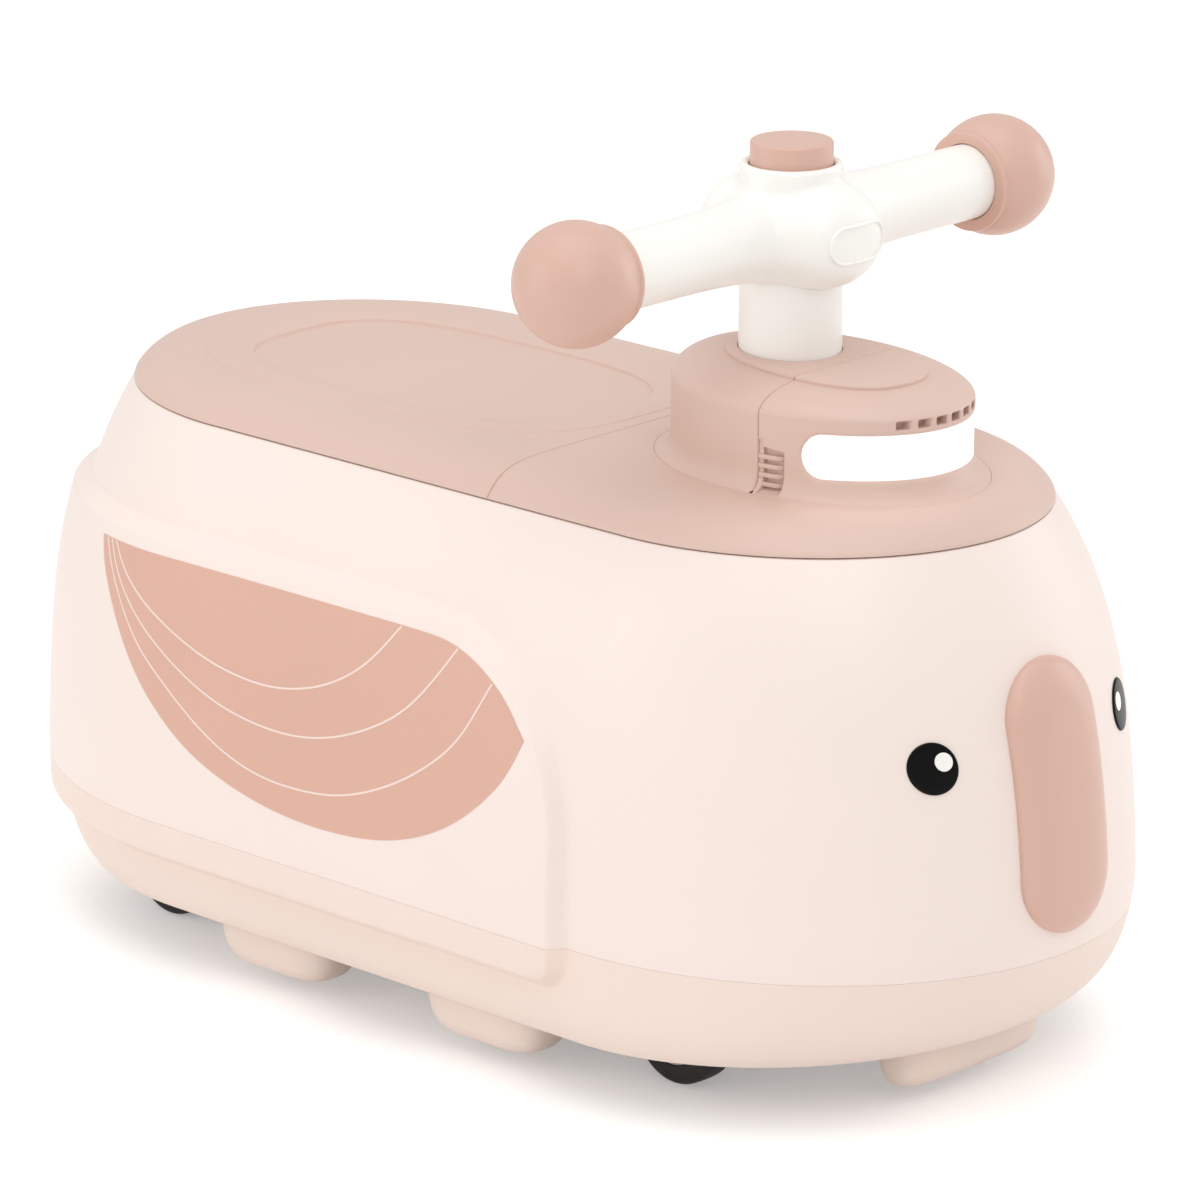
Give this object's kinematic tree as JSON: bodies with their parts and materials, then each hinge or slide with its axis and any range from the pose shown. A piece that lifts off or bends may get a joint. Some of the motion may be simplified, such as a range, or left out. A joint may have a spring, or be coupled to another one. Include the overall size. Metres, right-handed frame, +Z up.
{
  "type": "ride-on toy",
  "caption": "Rounded animal-faced ride-on toy with a lifting seat over a storage tub, steering handlebar, horn button and low wheels.",
  "frame": {"origin": "on the floor, under the middle of the toy's bounding box", "axes": "+X to the nose, +Y to the toy's left, +Z up"},
  "size_m": [0.6319, 0.3484, 0.4372],
  "materials": {
    "cream_plastic": "fine satin injection-moulded shell",
    "peach_plastic": "fine satin injection-moulded chassis",
    "dusty_pink_plastic": "satin injection-moulded covers and grips",
    "white_plastic": "semi-gloss injection-moulded handlebar",
    "black_enamel": "gloss printed disc",
    "lamp_white": "opal lamp window",
    "black_rubber": "matt soft tread",
    "grey_nylon": "moulded wheel hub",
    "grey_abs": "plain moulded inner part",
    "circuit_board": "lacquered board",
    "zinc_steel": "zinc-plated steel",
    "white_acetal": "turned bearing plastic",
    "liner_plastic": "plain moulded tub"
  },
  "bodies": {
    "body": {"upper_shell": "cream_plastic", "lower_chassis": "peach_plastic", "storage_tub": "liner_plastic", "front_cover": "dusty_pink_plastic", "housing_rear": "dusty_pink_plastic", "housing_front": "dusty_pink_plastic", "lamp_lens": "lamp_white", "lamp_board": "circuit_board", "speaker": "grey_abs", "battery_tray": "grey_abs", "battery_1": "zinc_steel", "battery_2": "zinc_steel", "battery_door": "grey_abs", "column_bush": "white_acetal", "steering_bush": "white_acetal", "lid_hinge_pin": "zinc_steel", "rear_axle": "zinc_steel", "rear_left_axle_cap": "zinc_steel", "rear_right_axle_cap": "zinc_steel", "trunk": "dusty_pink_plastic", "eye_left": "black_enamel", "eye_right": "black_enamel", "eye_glint_left": "white_plastic", "eye_glint_right": "white_plastic", "chassis_screw_left_1": "zinc_steel", "chassis_screw_left_2": "zinc_steel", "chassis_screw_left_3": "zinc_steel", "chassis_screw_right_1": "zinc_steel", "chassis_screw_right_2": "zinc_steel", "chassis_screw_right_3": "zinc_steel"},
    "steering": {"steering_column": "white_plastic", "steering_shaft": "zinc_steel", "handlebar": "white_plastic", "hub_plate": "white_plastic", "grip_left": "dusty_pink_plastic", "grip_right": "dusty_pink_plastic", "horn_switch": "circuit_board", "horn_spring": "zinc_steel", "front_axle_carrier": "grey_abs", "shaft_nut": "zinc_steel", "front_axle": "zinc_steel", "front_left_axle_cap": "zinc_steel", "front_right_axle_cap": "zinc_steel"},
    "button": {"horn_button": "dusty_pink_plastic"},
    "seat": {"seat_lid": "dusty_pink_plastic"},
    "front_left_wheel": {"front_left_tyre": "black_rubber", "front_left_wheel_hub": "grey_nylon"},
    "front_right_wheel": {"front_right_tyre": "black_rubber", "front_right_wheel_hub": "grey_nylon"},
    "rear_left_wheel": {"rear_left_tyre": "black_rubber", "rear_left_wheel_hub": "grey_nylon"},
    "rear_right_wheel": {"rear_right_tyre": "black_rubber", "rear_right_wheel_hub": "grey_nylon"}
  },
  "joints": [
    {"name": "steering_turn", "type": "hinge", "parent": "body", "child": "steering", "pos_m": [0.133, 0, 0.2], "axis": [0, 0, 1], "range_deg": [-30, 30]},
    {"name": "horn_press", "type": "slide", "parent": "steering", "child": "button", "axis": [0, 0, -1], "range_m": [0, 0.0035], "stiffness_N_per_m": 400, "springref_m": -0.004, "deforming": ["horn_spring"]},
    {"name": "seat_lift", "type": "hinge", "parent": "body", "child": "seat", "pos_m": [-0.2655, 0, 0.269], "axis": [0, -1, 0], "range_deg": [0, 85]},
    {"name": "front_left_roll", "type": "hinge", "parent": "steering", "child": "front_left_wheel", "pos_m": [0.148, 0.086, 0.0255], "axis": [0, 1, 0], "continuous": true},
    {"name": "front_right_roll", "type": "hinge", "parent": "steering", "child": "front_right_wheel", "pos_m": [0.148, -0.086, 0.0255], "axis": [0, 1, 0], "continuous": true},
    {"name": "rear_left_roll", "type": "hinge", "parent": "body", "child": "rear_left_wheel", "pos_m": [-0.1975, 0.086, 0.0255], "axis": [0, 1, 0], "continuous": true},
    {"name": "rear_right_roll", "type": "hinge", "parent": "body", "child": "rear_right_wheel", "pos_m": [-0.1975, -0.086, 0.0255], "axis": [0, 1, 0], "continuous": true}
  ]
}
